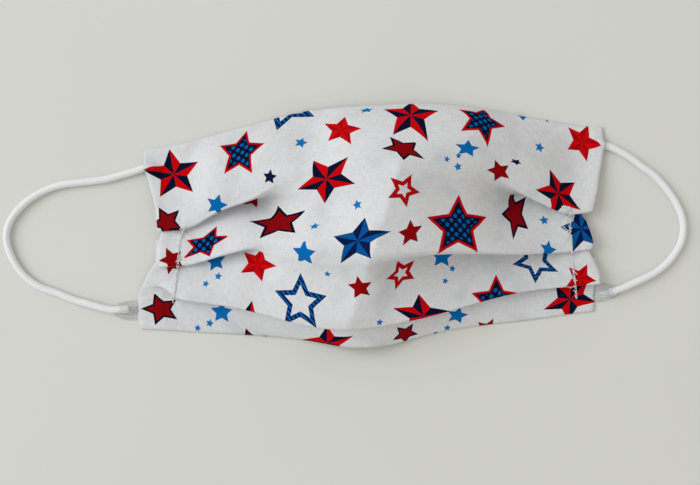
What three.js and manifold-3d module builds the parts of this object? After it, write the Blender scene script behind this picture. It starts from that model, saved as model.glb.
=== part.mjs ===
// Pleated cotton face mask with round elastic ear loops, lying face up on a table.
// Millimetres. +X runs to the right across the mask, +Y towards its nose edge, +Z up from
// the table. The origin is under the middle of the cloth body, on the table.
import * as THREE from 'three';
import { mergeVertices } from 'three/addons/utils/BufferGeometryUtils.js';
import Module from 'manifold-3d';

const wasm = await Module();
wasm.setup();

// Cloth body: finished sizes as it lies, and what it was cut and folded to.
const bodyWidth = 198.9;
const bodyHeight = 99.9;
const domeLift = 28.6;
const clothWall = 1.0;
const layerGap = 0.35;
const pleatDepth = 12.7;
const nosePanel = 37.5;
const upperPanel = 27.4;
const lowerPanel = 26.6;
const chinPanel = 26.6;
const stackTilt = 10;
const foldBend = 0.6;
const valleyBend = 2.5;
const softBend = 9;
const openedShare = 0.6;
const freeLift = 4;
const chinBowShare = 0.35;
const stationCount = 40;
const bendSteps = 4;
const panelSteps = 6;

// Ear loops and the clear tape tabs that hold their lower ends.
const cordDiameter = 3.0;
const cordSides = 8;
const seatGap = 0.3;
const tabLength = 9.2;
const tabWidth = 8.4;
const tabWall = 0.5;
const tabFin = 1.0;
const tabSpread = 2.4;
const tabPinch = 3.6;

const halfWidth = bodyWidth / 2;
const halfHeight = bodyHeight / 2;
const layerPitch = clothWall + layerGap;
const tableLevel = clothWall / 2;
const foldRest = tableLevel + 2 * layerPitch + pleatDepth * Math.sin(THREE.MathUtils.degToRad(stackTilt));

// Where each edge and fold runs. at: place across, as a share of half the width. y: place as
// a share of half the height. lift: height over its flat state, as a share of the dome's lift.
// soft: 0 for a pressed fold, 1 where the pleat has opened and rounded out.
const noseEdge = [
  { at: -0.94, y: 0.734, lift: 0.00, soft: 0 },
  { at: -0.53, y: 0.872, lift: 0.00, soft: 0 },
  { at: -0.24, y: 0.990, lift: 0.04, soft: 0 },
  { at: 0.08, y: 1.000, lift: 0.08, soft: 0 },
  { at: 0.30, y: 0.990, lift: 0.06, soft: 0 },
  { at: 0.52, y: 0.920, lift: 0.02, soft: 0 },
  { at: 0.77, y: 0.814, lift: 0.00, soft: 0 },
  { at: 1.00, y: 0.746, lift: 0.00, soft: 0 },
];
const upperFold = [
  { at: -0.89, y: 0.045, lift: 0.00, soft: 0 },
  { at: -0.79, y: 0.041, lift: 0.00, soft: 0 },
  { at: -0.63, y: 0.179, lift: 0.14, soft: 0 },
  { at: -0.45, y: 0.275, lift: 0.36, soft: 0 },
  { at: -0.25, y: 0.370, lift: 0.62, soft: 0.7 },
  { at: -0.06, y: 0.490, lift: 0.80, soft: 1 },
  { at: 0.13, y: 0.527, lift: 0.85, soft: 0.9 },
  { at: 0.40, y: 0.480, lift: 0.64, soft: 0.7 },
  { at: 0.52, y: 0.340, lift: 0.42, soft: 0.3 },
  { at: 0.61, y: 0.225, lift: 0.28, soft: 0 },
  { at: 0.73, y: 0.101, lift: 0.12, soft: 0 },
  { at: 0.84, y: 0.019, lift: 0.00, soft: 0 },
  { at: 0.92, y: 0.045, lift: 0.00, soft: 0 },
];
const middleFold = [
  { at: -0.89, y: -0.251, lift: 0.00, soft: 0 },
  { at: -0.81, y: -0.257, lift: 0.00, soft: 0 },
  { at: -0.74, y: -0.240, lift: 0.04, soft: 0 },
  { at: -0.64, y: -0.183, lift: 0.17, soft: 0 },
  { at: -0.53, y: -0.140, lift: 0.36, soft: 0.4 },
  { at: -0.35, y: -0.200, lift: 0.62, soft: 0.9 },
  { at: -0.20, y: -0.265, lift: 0.84, soft: 1 },
  { at: 0.00, y: -0.255, lift: 1.00, soft: 0.8 },
  { at: 0.09, y: -0.251, lift: 0.98, soft: 0.2 },
  { at: 0.26, y: -0.243, lift: 0.80, soft: 0 },
  { at: 0.60, y: -0.277, lift: 0.34, soft: 0 },
  { at: 0.83, y: -0.285, lift: 0.00, soft: 0 },
  { at: 0.92, y: -0.265, lift: 0.00, soft: 0 },
];
const lowerFold = [
  { at: -0.98, y: -0.535, lift: 0.00, soft: 0 },
  { at: -0.85, y: -0.538, lift: 0.00, soft: 0 },
  { at: -0.73, y: -0.562, lift: 0.03, soft: 0 },
  { at: -0.56, y: -0.628, lift: 0.12, soft: 0 },
  { at: -0.39, y: -0.730, lift: 0.23, soft: 0 },
  { at: -0.25, y: -0.804, lift: 0.31, soft: 0 },
  { at: -0.13, y: -0.834, lift: 0.34, soft: 0.2 },
  { at: 0.08, y: -0.804, lift: 0.32, soft: 0.2 },
  { at: 0.29, y: -0.728, lift: 0.24, soft: 0 },
  { at: 0.44, y: -0.658, lift: 0.15, soft: 0 },
  { at: 0.61, y: -0.596, lift: 0.06, soft: 0 },
  { at: 0.76, y: -0.575, lift: 0.00, soft: 0 },
  { at: 0.94, y: -0.560, lift: 0.00, soft: 0 },
];
const chinEdge = [
  { at: -0.97, y: -0.775, lift: 0.00, soft: 0 },
  { at: -0.79, y: -0.812, lift: 0.00, soft: 0 },
  { at: -0.50, y: -0.868, lift: 0.00, soft: 0 },
  { at: -0.31, y: -0.918, lift: 0.00, soft: 0 },
  { at: -0.07, y: -1.000, lift: 0.00, soft: 0 },
  { at: 0.01, y: -1.000, lift: 0.00, soft: 0 },
  { at: 0.17, y: -0.944, lift: 0.00, soft: 0 },
  { at: 0.37, y: -0.880, lift: 0.00, soft: 0 },
  { at: 0.68, y: -0.838, lift: 0.00, soft: 0 },
  { at: 0.92, y: -0.796, lift: 0.00, soft: 0 },
];

// How far each line reaches to the left and right side edges, as shares of half the width.
const reach = {
  noseEdge: { left: -0.94, right: 1.0 },
  upperFold: { left: -0.89, right: 0.92 },
  middleFold: { left: -0.895, right: 0.925 },
  lowerFold: { left: -0.985, right: 0.94 },
  chinMargin: { left: -1.0, right: 0.94 },
  chinEdge: { left: -0.96, right: 0.925 },
};

// Ear loop routes on the table, chosen by hand: X, Y and how far the cord is raised.
const leftLoopRoute = [
  [-93.0, 29.0, 0], [-98.2, 27.5, 0], [-102.4, 26.5, 0], [-110.1, 24.8, 0], [-121.5, 23.9, 0],
  [-129.9, 23.1, 0], [-136.5, 21.0, 0], [-142.0, 18.1, 0], [-146.7, 14.4, 0], [-150.0, 10.6, 0],
  [-152.0, 6.9, 0], [-152.9, 2.7, 0], [-152.3, -2.2, 0], [-150.8, -6.5, 0], [-148.3, -11.2, 0],
  [-144.9, -15.2, 0], [-140.2, -18.7, 0], [-132.0, -22.2, 0], [-125.8, -25.0, 0.1],
  [-119.6, -27.0, 0.5], [-114.2, -28.8, 0.8], [-110.2, -29.8, 0.8], [-106.9, -30.0, 0.8],
  [-103.8, -30.0, 0.8],
];
const rightLoopRoute = [
  [98.5, 29.7, 0], [102.4, 28.2, 0], [105.7, 26.3, 0], [109.8, 23.6, 0], [114.4, 19.8, 0],
  [117.9, 17.1, 0], [120.7, 14.4, 0], [124.7, 9.2, 0], [127.8, 4.0, 0], [129.7, -0.7, 0],
  [130.4, -5.8, 0], [129.4, -11.6, 0], [126.6, -16.7, 0], [122.0, -21.6, 0.1],
  [116.8, -25.1, 0.4], [111.7, -27.3, 0.8], [107.6, -28.9, 0.8], [103.1, -30.6, 0.8],
  [99.7, -31.6, 0.8], [98.0, -32.0, 0.8],
];

// Where each tab is rooted on its side edge, as a share of half the height, and where its two
// fins of tape and the notch between them end. out: reach from the body, as a share of the tab's
// length. across: place across the tab, as a share of its width.
const tabs = {
  left: {
    rootY: -0.615,
    low: { out: 1.02, across: -0.19 },
    notch: { out: 0.76, across: 0.08 },
    high: { out: 0.92, across: 0.38 },
  },
  right: {
    rootY: -0.645,
    low: { out: 1.00, across: -0.23 },
    notch: { out: 0.65, across: 0.12 },
    high: { out: 0.85, across: 0.36 },
  },
};

const smooth = (t) => t * t * (3 - 2 * t);
const lerp = THREE.MathUtils.lerp;

// One column of a table at a place across, with an even curve through its rows.
function along(rows, at, column) {
  const last = rows.length - 1;
  if (at <= rows[0].at) return rows[0][column];
  if (at >= rows[last].at) return rows[last][column];
  const i = rows.findIndex((row) => row.at > at) - 1;
  const slope = (k) => {
    const a = rows[Math.max(k - 1, 0)];
    const b = rows[Math.min(k + 1, last)];
    const here = rows[k][column];
    if ((b[column] - here) * (here - a[column]) <= 0) return 0;
    return (b[column] - a[column]) / (b.at - a.at);
  };
  const span = rows[i + 1].at - rows[i].at;
  const t = (at - rows[i].at) / span;
  const rise = rows[i + 1][column] - rows[i][column];
  const bend = t * (1 - t) * ((1 - t) * (slope(i) * span - rise) - t * (slope(i + 1) * span - rise));
  return lerp(rows[i][column], rows[i + 1][column], t) + bend;
}

// A point of an edge or fold at a cloth place u, from -1 at the left side edge to 1 at the right.
function linePoint(rows, span, u, restHeight) {
  const at = lerp(span.left, span.right, (u + 1) / 2);
  return {
    x: at * halfWidth,
    y: along(rows, at, 'y') * halfHeight,
    z: restHeight + along(rows, at, 'lift') * domeLift,
    soft: THREE.MathUtils.clamp(along(rows, at, 'soft'), 0, 1),
  };
}

const move = (p, heading, distance) => ({
  y: p.y + Math.cos(heading) * distance,
  z: p.z + Math.sin(heading) * distance,
});
const chord = (a, b) => Math.hypot(b.y - a.y, b.z - a.z);

// Heading from one point to another: half a turn points level towards the chin edge.
const headingTo = (a, b) => (Math.atan2(b.z - a.z, b.y - a.y) + 2 * Math.PI) % (2 * Math.PI);

// A bend at a point, from one heading to another, round an arc that touches the point's side.
function bendAt(point, headIn, headOut, radius) {
  const turn = headOut - headIn;
  const side = Math.sign(turn) || 1;
  const start = move(point, headIn, -radius * Math.abs(Math.sin(turn / 2)));
  const centre = move(start, headIn + side * Math.PI / 2, radius);
  const points = [];
  for (let i = 0; i <= bendSteps; i += 1) {
    points.push(move(centre, headIn - side * Math.PI / 2 + turn * (i / bendSteps), radius));
  }
  return points;
}

// One pleat: the bend at its fold, the layer folded under, and the bend into the next panel.
// The hidden layer swings down about the fold until the next panel just reaches the next line,
// and is shorter where the pleat has opened and its cloth has rounded out.
function pleatPoints(fold, headIn, next, panel) {
  const depth = pleatDepth * (1 - openedShare * fold.soft);
  const closedHeading = headIn + Math.PI - THREE.MathUtils.degToRad(stackTilt);
  const place = (heading) => {
    const open = (closedHeading - heading) / (closedHeading - headIn);
    const outer = layerPitch / 2 + open * lerp(foldBend, softBend, fold.soft);
    const inner = layerPitch / 2 + open * lerp(valleyBend, softBend, fold.soft);
    const first = bendAt(fold, headIn, heading, outer);
    const leave = first[first.length - 1];
    const flat = Math.max(depth - (heading - headIn) * (outer + inner) / 2, clothWall);
    const turn = move(leave, heading, flat + inner);
    turn.z = Math.max(turn.z, tableLevel + layerPitch * (1 - open));
    let second = bendAt(turn, heading, headingTo(turn, next), inner);
    turn.z += Math.max(0, tableLevel - Math.min(...second.map((p) => p.z)));
    second = bendAt(turn, heading, headingTo(turn, next), inner);
    const left = panel - (heading - headingTo(turn, next)) * inner / 2;
    return { points: [...first, ...second], left };
  };
  let low = Math.PI * 0.8;
  let high = closedHeading;
  for (let step = 0; step < 30; step += 1) {
    const heading = (low + high) / 2;
    const { points, left } = place(heading);
    if (chord(points[points.length - 1], next) > left) high = heading;
    else low = heading;
  }
  return place(high).points;
}

// A panel from one point to another, in even steps, bowed up by the given height.
function panelPoints(from, to, bow) {
  const up = headingTo(from, to) - Math.PI / 2;
  const points = [];
  for (let i = 1; i < panelSteps; i += 1) {
    const t = i / panelSteps;
    const p = { y: lerp(from.y, to.y, t), z: lerp(from.z, to.z, t) };
    points.push(move(p, up, 4 * bow * t * (1 - t)));
  }
  return points;
}

// The bow of a panel that is longer than the way that it spans; a flat margin keeps none.
function slackBow(from, to, panel, lifted) {
  const way = chord(from, to);
  const share = smooth(THREE.MathUtils.clamp(lifted / freeLift, 0, 1));
  return share * Math.sqrt(Math.max(0, 3 * way * (panel - way) / 8));
}

// The middle of the cloth wall at one place across: a line of points from nose to chin edge.
function profile(u) {
  const nose = linePoint(noseEdge, reach.noseEdge, u, tableLevel);
  const upper = linePoint(upperFold, reach.upperFold, u, foldRest);
  const middle = linePoint(middleFold, reach.middleFold, u, foldRest);
  const lower = linePoint(lowerFold, reach.lowerFold, u, foldRest);
  const chin = linePoint(chinEdge, reach.chinEdge, u, tableLevel);
  const marginX = lerp(reach.chinMargin.left, reach.chinMargin.right, (u + 1) / 2) * halfWidth;
  const points = [new THREE.Vector3(nose.x, nose.y, nose.z)];
  const put = (list, fromX, toX) => {
    list.forEach((p, i) => {
      points.push(new THREE.Vector3(lerp(fromX, toX, (i + 1) / list.length), p.y, p.z));
    });
  };
  const noseBow = slackBow(nose, upper, nosePanel, upper.z - foldRest);
  put(panelPoints(nose, upper, noseBow), nose.x, upper.x);
  let heading = headingTo(nose, upper) + Math.atan(4 * noseBow / chord(nose, upper));
  const stages = [
    { fold: upper, next: middle, panel: upperPanel },
    { fold: middle, next: lower, panel: lowerPanel },
  ];
  stages.forEach(({ fold, next, panel }) => {
    const bend = pleatPoints(fold, heading, next, panel);
    const after = bend[bend.length - 1];
    put(bend, fold.x, fold.x);
    put(panelPoints(after, next, 0), fold.x, next.x);
    heading = headingTo(after, next);
  });
  const last = pleatPoints(lower, heading, chin, chinPanel);
  const after = last[last.length - 1];
  if (lower.z === foldRest) after.z = tableLevel;
  put(last, lower.x, lower.x);
  const chinBow = chinBowShare * slackBow(after, chin, chinPanel, lower.z - foldRest);
  const strip = panelPoints(after, chin, chinBow);
  if (lower.z === foldRest) strip.forEach((p) => { p.z = tableLevel; });
  const half = Math.floor(strip.length / 2);
  put(strip.slice(0, half), lower.x, marginX);
  put(strip.slice(half), marginX, chin.x);
  points.push(new THREE.Vector3(chin.x, chin.y, chin.z));
  return points;
}

// A closed wall of even thickness about a grid of middle points.
function wallFromGrid(rows, thickness) {
  const last = rows.length - 1;
  const end = rows[0].length - 1;
  const outer = [];
  const inner = [];
  rows.forEach((row, i) => {
    row.forEach((p, j) => {
      const across = rows[Math.min(i + 1, last)][j].clone().sub(rows[Math.max(i - 1, 0)][j]);
      const down = row[Math.min(j + 1, end)].clone().sub(row[Math.max(j - 1, 0)]);
      const normal = down.cross(across).normalize();
      outer.push(p.clone().addScaledVector(normal, thickness / 2));
      inner.push(p.clone().addScaledVector(normal, -thickness / 2));
    });
  });
  const count = outer.length;
  const index = [];
  const at = (i, j) => i * (end + 1) + j;
  const quad = (a, b, c, d) => index.push(a, b, c, a, c, d);
  for (let i = 0; i < last; i += 1) {
    for (let j = 0; j < end; j += 1) {
      quad(at(i, j), at(i, j + 1), at(i + 1, j + 1), at(i + 1, j));
      quad(count + at(i, j), count + at(i + 1, j), count + at(i + 1, j + 1), count + at(i, j + 1));
    }
    quad(at(i, 0), at(i + 1, 0), count + at(i + 1, 0), count + at(i, 0));
    quad(at(i, end), count + at(i, end), count + at(i + 1, end), at(i + 1, end));
  }
  for (let j = 0; j < end; j += 1) {
    quad(at(0, j), count + at(0, j), count + at(0, j + 1), at(0, j + 1));
    quad(at(last, j), at(last, j + 1), count + at(last, j + 1), count + at(last, j));
  }
  const geometry = new THREE.BufferGeometry();
  const positions = [...outer, ...inner].flatMap((p) => [p.x, p.y, p.z]);
  geometry.setAttribute('position', new THREE.Float32BufferAttribute(positions, 3));
  geometry.setIndex(index);
  geometry.computeVertexNormals();
  return geometry;
}

function pleatedBody() {
  const rows = [];
  for (let i = 0; i < stationCount; i += 1) {
    rows.push(profile(-1 + (2 * i) / (stationCount - 1)));
  }
  const mesh = new THREE.Mesh(
    wallFromGrid(rows, clothWall),
    new THREE.MeshStandardMaterial({ color: 0xe6e6ea, roughness: 0.9, metalness: 0 }),
  );
  mesh.name = 'pleated_body';
  return mesh;
}

// The middle line of an ear loop, and the round cord or the clear way round it.
function loopPath(route) {
  const level = cordDiameter / 2;
  const points = route.map(([x, y, raise]) => new THREE.Vector3(x, y, level + raise));
  return new THREE.CatmullRomCurve3(points, false, 'centripetal');
}

function tubeAlong(path, radius) {
  const section = new THREE.Shape();
  for (let i = 0; i < cordSides; i += 1) {
    const angle = (2 * Math.PI * i) / cordSides;
    section.lineTo(radius * Math.cos(angle), radius * Math.sin(angle));
  }
  const points = section.getPoints().slice(1);
  const steps = Math.round(path.getLength() / (cordDiameter * 2));
  const settings = { steps, bevelEnabled: false, extrudePath: path };
  return new THREE.ExtrudeGeometry(new THREE.Shape(points), settings);
}

function earLoop(name, route) {
  const mesh = new THREE.Mesh(
    tubeAlong(loopPath(route), cordDiameter / 2),
    new THREE.MeshStandardMaterial({ color: 0xebebf0, roughness: 0.8, metalness: 0 }),
  );
  mesh.name = name;
  return mesh;
}

// A closed geometry as a solid that can be joined and cut, and back again.
function solidOf(geometry) {
  const bare = geometry.clone();
  bare.deleteAttribute('normal');
  bare.deleteAttribute('uv');
  const merged = mergeVertices(bare, 1e-4);
  return new wasm.Manifold(new wasm.Mesh({
    numProp: 3,
    vertProperties: merged.attributes.position.array,
    triVerts: new Uint32Array(merged.index.array),
  }));
}

function geometryOf(solid) {
  const mesh = solid.getMesh();
  const geometry = new THREE.BufferGeometry();
  geometry.setAttribute('position', new THREE.BufferAttribute(mesh.vertProperties, 3));
  geometry.setIndex(new THREE.BufferAttribute(mesh.triVerts, 1));
  geometry.computeVertexNormals();
  return geometry;
}

function slab(outline, depth) {
  const shape = new THREE.Shape(outline.map(([x, y]) => new THREE.Vector2(x, y)));
  return new THREE.ExtrudeGeometry(shape, { depth, bevelEnabled: false });
}

// A folded clear tape: flat where it is stitched to the body, full round the end of the cord,
// with a fin each side of the notch that the cord enters by. Local X runs out from the body.
function clearTab({ name, rootX, side, tab, route }) {
  const height = cordDiameter + 2 * (tabWall + seatGap);
  const half = tabWidth / 2;
  const root = [rootX, tab.rootY * halfHeight];
  const end = (fin, aside) => [fin.out * tabLength, fin.across * tabWidth + aside];
  const plan = solidOf(slab([
    [0, -half], [tabLength * 0.5, -half], end(tab.low, -tabFin / 2), end(tab.low, tabFin / 2),
    end(tab.notch, 0), end(tab.high, -tabFin / 2), end(tab.high, tabFin / 2),
    [tabLength * 0.6, half], [0, half],
  ].map(([x, y]) => [x * side, y]).reverse(), height));
  const across = slab([
    [-half, 0], [half, 0], [half, tabFin], [tabSpread, height], [-tabSpread, height],
    [-half, tabFin],
  ], 3 * tabLength);
  const ex = new THREE.Vector3(1, 0, 0);
  const ey = new THREE.Vector3(0, 1, 0);
  const ez = new THREE.Vector3(0, 0, 1);
  across.applyMatrix4(new THREE.Matrix4().makeBasis(ey, ez, ex));
  across.translate(-1.5 * tabLength, 0, 0);
  const lengthwise = slab([
    [0, 0], [0, 2 * tabFin], [tabPinch * side, height], [2 * tabLength * side, height],
    [2 * tabLength * side, 0],
  ], 2 * tabWidth);
  lengthwise.applyMatrix4(new THREE.Matrix4().makeBasis(ex, ez, ey.clone().negate()));
  lengthwise.translate(0, tabWidth, 0);
  const cut = tubeAlong(loopPath(route), cordDiameter / 2 + seatGap);
  cut.translate(-root[0], -root[1], 0);
  const solid = plan.intersect(solidOf(across)).intersect(solidOf(lengthwise)).subtract(solidOf(cut));
  const mesh = new THREE.Mesh(
    geometryOf(solid),
    new THREE.MeshStandardMaterial({
      color: 0xc8c8cc, roughness: 0.3, metalness: 0, transparent: true, opacity: 0.6,
    }),
  );
  mesh.name = name;
  mesh.position.set(root[0], root[1], 0);
  return mesh;
}

const group = new THREE.Group();
const body = pleatedBody();
body.geometry.computeBoundingBox();
const box = body.geometry.boundingBox;
group.position.set(-(box.min.x + box.max.x) / 2, -(box.min.y + box.max.y) / 2, -box.min.z);
group.add(body);
group.add(earLoop('ear_loop_left', leftLoopRoute));
group.add(earLoop('ear_loop_right', rightLoopRoute));
group.add(clearTab({
  name: 'clear_tab_left',
  rootX: halfWidth * reach.chinMargin.left - clothWall / 2 - seatGap,
  side: -1,
  tab: tabs.left,
  route: leftLoopRoute,
}));
group.add(clearTab({
  name: 'clear_tab_right',
  rootX: halfWidth * reach.chinMargin.right + clothWall / 2 + seatGap,
  side: 1,
  tab: tabs.right,
  route: rightLoopRoute,
}));
export default group;
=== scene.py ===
import math

import bpy
import numpy as np
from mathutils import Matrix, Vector, noise


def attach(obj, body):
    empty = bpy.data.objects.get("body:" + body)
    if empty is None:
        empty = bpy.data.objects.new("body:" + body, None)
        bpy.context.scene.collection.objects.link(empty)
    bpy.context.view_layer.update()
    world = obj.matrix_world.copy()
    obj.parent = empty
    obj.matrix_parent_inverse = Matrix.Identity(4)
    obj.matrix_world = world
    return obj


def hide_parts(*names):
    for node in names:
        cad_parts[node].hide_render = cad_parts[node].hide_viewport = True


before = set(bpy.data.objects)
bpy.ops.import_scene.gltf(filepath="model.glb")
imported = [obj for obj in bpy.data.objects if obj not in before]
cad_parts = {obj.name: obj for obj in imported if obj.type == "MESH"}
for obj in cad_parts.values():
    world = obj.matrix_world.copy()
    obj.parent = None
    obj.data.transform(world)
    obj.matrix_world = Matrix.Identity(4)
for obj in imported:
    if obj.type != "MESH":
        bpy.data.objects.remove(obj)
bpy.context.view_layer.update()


# The table top that the mask lies on: a plain, matt, slightly warm white surface.
# It is only the stage, so it is one flat sheet under everything.
table_white = (0.72, 0.72, 0.685, 1.0)
table_worn = (0.685, 0.685, 0.645, 1.0)

bpy.ops.object.select_all(action="DESELECT")
bpy.ops.mesh.primitive_grid_add(x_subdivisions=8, y_subdivisions=8, size=2.4)
table_top = bpy.context.object
table_top.name = "table_top"


def new_material(name):
    made = bpy.data.materials.new(name)
    made.use_nodes = True
    shader = made.node_tree.nodes["Principled BSDF"]
    return made, made.node_tree, shader


def node(tree, kind, place=(0, 0), **settings):
    made = tree.nodes.new(kind)
    made.location = place
    for key, value in settings.items():
        setattr(made, key, value)
    return made


def join(tree, source, output, target, socket):
    tree.links.new(source.outputs[output], target.inputs[socket])


def set_inputs(made, **values):
    """Constants on a node's own sockets, each named with its spaces as underscores."""
    for name, value in values.items():
        made.inputs[name.replace("_", " ")].default_value = value


def bump(tree, shader, place, height, strength, distance):
    """Relief of a height, in metres, that feeds a shader's normal."""
    made = node(tree, "ShaderNodeBump", place)
    set_inputs(made, Strength=strength, Distance=distance)
    tree.links.new(height, made.inputs["Height"])
    join(tree, made, "Normal", shader, "Normal")


def put_in(tree, socket, value):
    """A constant or another node's output, in a socket."""
    if isinstance(value, (int, float, tuple)):
        socket.default_value = value
    else:
        tree.links.new(value, socket)


def mix_colours(tree, place, factor, one, two):
    made = node(tree, "ShaderNodeMix", place, data_type="RGBA")
    for socket, value in ((0, factor), ("A", one), ("B", two)):
        put_in(tree, made.inputs[socket], value)
    return made.outputs["Result"]


table_finish, tree, shader = new_material("table_top_finish")
table_place = node(tree, "ShaderNodeTexCoord", (-1000, 0))
smudges = node(tree, "ShaderNodeTexNoise", (-800, 100))
set_inputs(smudges, Scale=7, Detail=5)
join(tree, table_place, "Object", smudges, "Vector")
table_tint = mix_colours(tree, (-500, 200), smudges.outputs["Fac"], table_white, table_worn)
tree.links.new(table_tint, shader.inputs["Base Color"])
dullness = node(tree, "ShaderNodeMapRange", (-500, -50))
set_inputs(dullness, To_Min=0.62, To_Max=0.80)
join(tree, smudges, "Fac", dullness, "Value")
join(tree, dullness, "Result", shader, "Roughness")
paint = node(tree, "ShaderNodeTexNoise", (-800, -300))
set_inputs(paint, Scale=450, Detail=3)
join(tree, table_place, "Object", paint, "Vector")
bump(tree, shader, (-500, -300), paint.outputs["Fac"], 0.12, 0.0002)
set_inputs(shader, Specular_IOR_Level=0.25)
table_top.data.materials.append(table_finish)


# The camera looks straight down, from a height that is a guess, and is turned so that the mask
# lies a little anticlockwise. One large light like a window stands at the left, and the room
# itself is bright.
view_height = 0.45
view_width = 0.294
view_centre = (-0.0093, -0.0063)
view_turn = math.radians(-2.6)
window_at = Vector((-2.2, 0.75, 1.75))

bpy.ops.object.camera_add(
    location=(view_centre[0], view_centre[1], view_height), rotation=(0, 0, view_turn)
)
camera = bpy.context.object
camera.data.lens = camera.data.sensor_width * view_height / view_width
camera.data.clip_start = 0.01
bpy.context.scene.camera = camera

bpy.ops.object.light_add(type="AREA", location=window_at)
window = bpy.context.object
window.name = "window_light"
window.data.shape = "RECTANGLE"
window.data.size = 2.2
window.data.size_y = 1.8
window.data.energy = 48
window.data.color = (0.92, 0.97, 1.0)
window.rotation_euler = (-window_at).to_track_quat("-Z", "Y").to_euler()

world = bpy.data.worlds.new("room")
world.use_nodes = True
set_inputs(world.node_tree.nodes["Background"], Color=(1.0, 0.985, 0.94, 1.0), Strength=0.61)
bpy.context.scene.world = world
bpy.context.scene.view_settings.view_transform = "Standard"


# The ear loops: two lengths of soft, round, knitted elastic, 3 mm thick. Each comes out of
# the side seam near the nose edge, lies loose on the table and ends in a tape tab.
cord_diameter = 0.003
cord_sides = 20
knit_wales = 9
knit_course = 0.00062
left_loop_length = 0.1394
right_loop_length = 0.0988
elastic_white = (0.93, 0.935, 0.95, 1.0)
elastic_shade = (0.78, 0.78, 0.80, 1.0)

left_loop_route = (
    (-0.0890, 0.0301, 0.0), (-0.0930, 0.0290, 0.0), (-0.0982, 0.0275, 0.0),
    (-0.1024, 0.0265, 0.0),
    (-0.1101, 0.0248, 0.0), (-0.1215, 0.0239, 0.0), (-0.1299, 0.0231, 0.0),
    (-0.1365, 0.0210, 0.0), (-0.1420, 0.0181, 0.0), (-0.1467, 0.0144, 0.0),
    (-0.1500, 0.0106, 0.0), (-0.1520, 0.0069, 0.0), (-0.1529, 0.0027, 0.0),
    (-0.1523, -0.0022, 0.0), (-0.1508, -0.0065, 0.0), (-0.1483, -0.0112, 0.0),
    (-0.1449, -0.0152, 0.0), (-0.1402, -0.0187, 0.0), (-0.1320, -0.0222, 0.0),
    (-0.1258, -0.0250, 0.0001), (-0.1196, -0.0270, 0.0005), (-0.1142, -0.0288, 0.0008),
    (-0.1102, -0.0298, 0.0008), (-0.1069, -0.0300, 0.0008), (-0.1030, -0.0299, 0.0007),
)
right_loop_route = (
    (0.0945, 0.0306, 0.0), (0.0985, 0.0297, 0.0), (0.1024, 0.0282, 0.0),
    (0.1057, 0.0263, 0.0),
    (0.1098, 0.0236, 0.0), (0.1144, 0.0198, 0.0), (0.1179, 0.0171, 0.0),
    (0.1207, 0.0144, 0.0), (0.1247, 0.0092, 0.0), (0.1278, 0.0040, 0.0),
    (0.1297, -0.0007, 0.0), (0.1304, -0.0058, 0.0), (0.1294, -0.0116, 0.0),
    (0.1266, -0.0167, 0.0), (0.1220, -0.0216, 0.0001), (0.1168, -0.0251, 0.0004),
    (0.1117, -0.0273, 0.0008), (0.1076, -0.0289, 0.0008), (0.1031, -0.0306, 0.0008),
    (0.0997, -0.0316, 0.0008), (0.0980, -0.0320, 0.0008),
)


def run_along(line):
    """How far along a line each of its points is."""
    return np.concatenate([[0], np.cumsum(np.linalg.norm(np.diff(line, axis=0), axis=1))])


def spread(points, count):
    """The given number of points spread evenly along a line."""
    points = np.array(points)
    run = run_along(points)
    stops = np.linspace(0, run[-1], count)
    return np.column_stack([np.interp(stops, run, points[:, k]) for k in range(points.shape[1])])


def even_curve(points, spacing):
    """Evenly spaced points on a smooth curve through the given ones."""
    points = np.array(points, float)
    before = 2 * points[0] - points[1]
    after = 2 * points[-1] - points[-2]
    ends = np.vstack([before, points, after])
    fine = []
    for i in range(len(points) - 1):
        a, b, c, d = ends[i : i + 4]
        knots = [0.0]
        for one, two in ((a, b), (b, c), (c, d)):
            knots.append(knots[-1] + math.sqrt(np.linalg.norm(two - one)))
        t0, t1, t2, t3 = knots
        for t in np.linspace(t1, t2, 24, endpoint=False):
            ab = (t1 - t) / (t1 - t0) * a + (t - t0) / (t1 - t0) * b
            bc = (t2 - t) / (t2 - t1) * b + (t - t1) / (t2 - t1) * c
            cd = (t3 - t) / (t3 - t2) * c + (t - t2) / (t3 - t2) * d
            abc = (t2 - t) / (t2 - t0) * ab + (t - t0) / (t2 - t0) * bc
            bcd = (t3 - t) / (t3 - t1) * bc + (t - t1) / (t3 - t1) * cd
            fine.append((t2 - t) / (t2 - t1) * abc + (t - t1) / (t2 - t1) * bcd)
    fine.append(points[-1])
    return spread(fine, max(2, int(round(run_along(fine)[-1] / spacing)) + 1))


def mesh_piece(name, points, faces):
    """A new object at the origin with the given mesh, smooth all over."""
    made = bpy.data.meshes.new(name)
    made.from_pydata([tuple(p) for p in points], [], faces)
    made.validate()
    made.shade_smooth()
    piece = bpy.data.objects.new(name, made)
    bpy.context.scene.collection.objects.link(piece)
    return piece


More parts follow.
